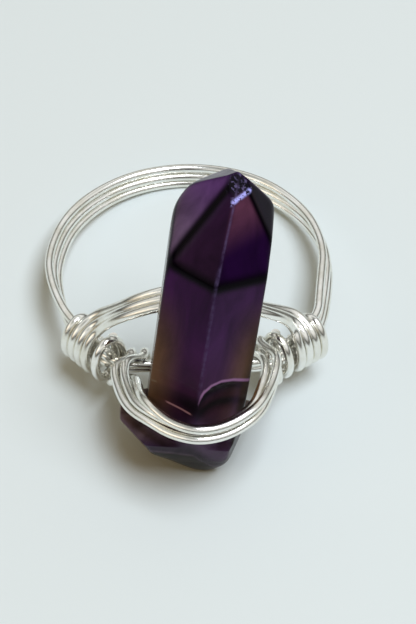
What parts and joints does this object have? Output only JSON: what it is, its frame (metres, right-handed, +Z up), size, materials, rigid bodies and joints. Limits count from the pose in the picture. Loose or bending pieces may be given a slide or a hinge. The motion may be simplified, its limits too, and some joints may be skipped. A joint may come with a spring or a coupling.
{
  "type": "crystal ring",
  "caption": "Finger ring of bound round wire that holds an upright double-ended faceted crystal in front of the band.",
  "frame": {"origin": "centre of the bounding box on the surface that the ring rests on", "axes": "+Z up, -Y to the front, where the crystal stands, and +X to the right as seen from the front"},
  "size_m": [0.0206, 0.0282, 0.0254],
  "materials": {
    "silver_wire": "bright silver plate, lightly worn",
    "amethyst": "polished deep purple quartz"
  },
  "bodies": {
    "root": {"band_wire_lower": "silver_wire", "band_wire_middle": "silver_wire", "band_wire_upper": "silver_wire", "arch_wire_upper": "silver_wire", "arch_wire_middle": "silver_wire", "arch_wire_lower": "silver_wire", "loop_wire_outer": "silver_wire", "loop_wire_inner": "silver_wire", "loop_wire_upper": "silver_wire", "crystal": "amethyst"}
  },
  "joints": []
}
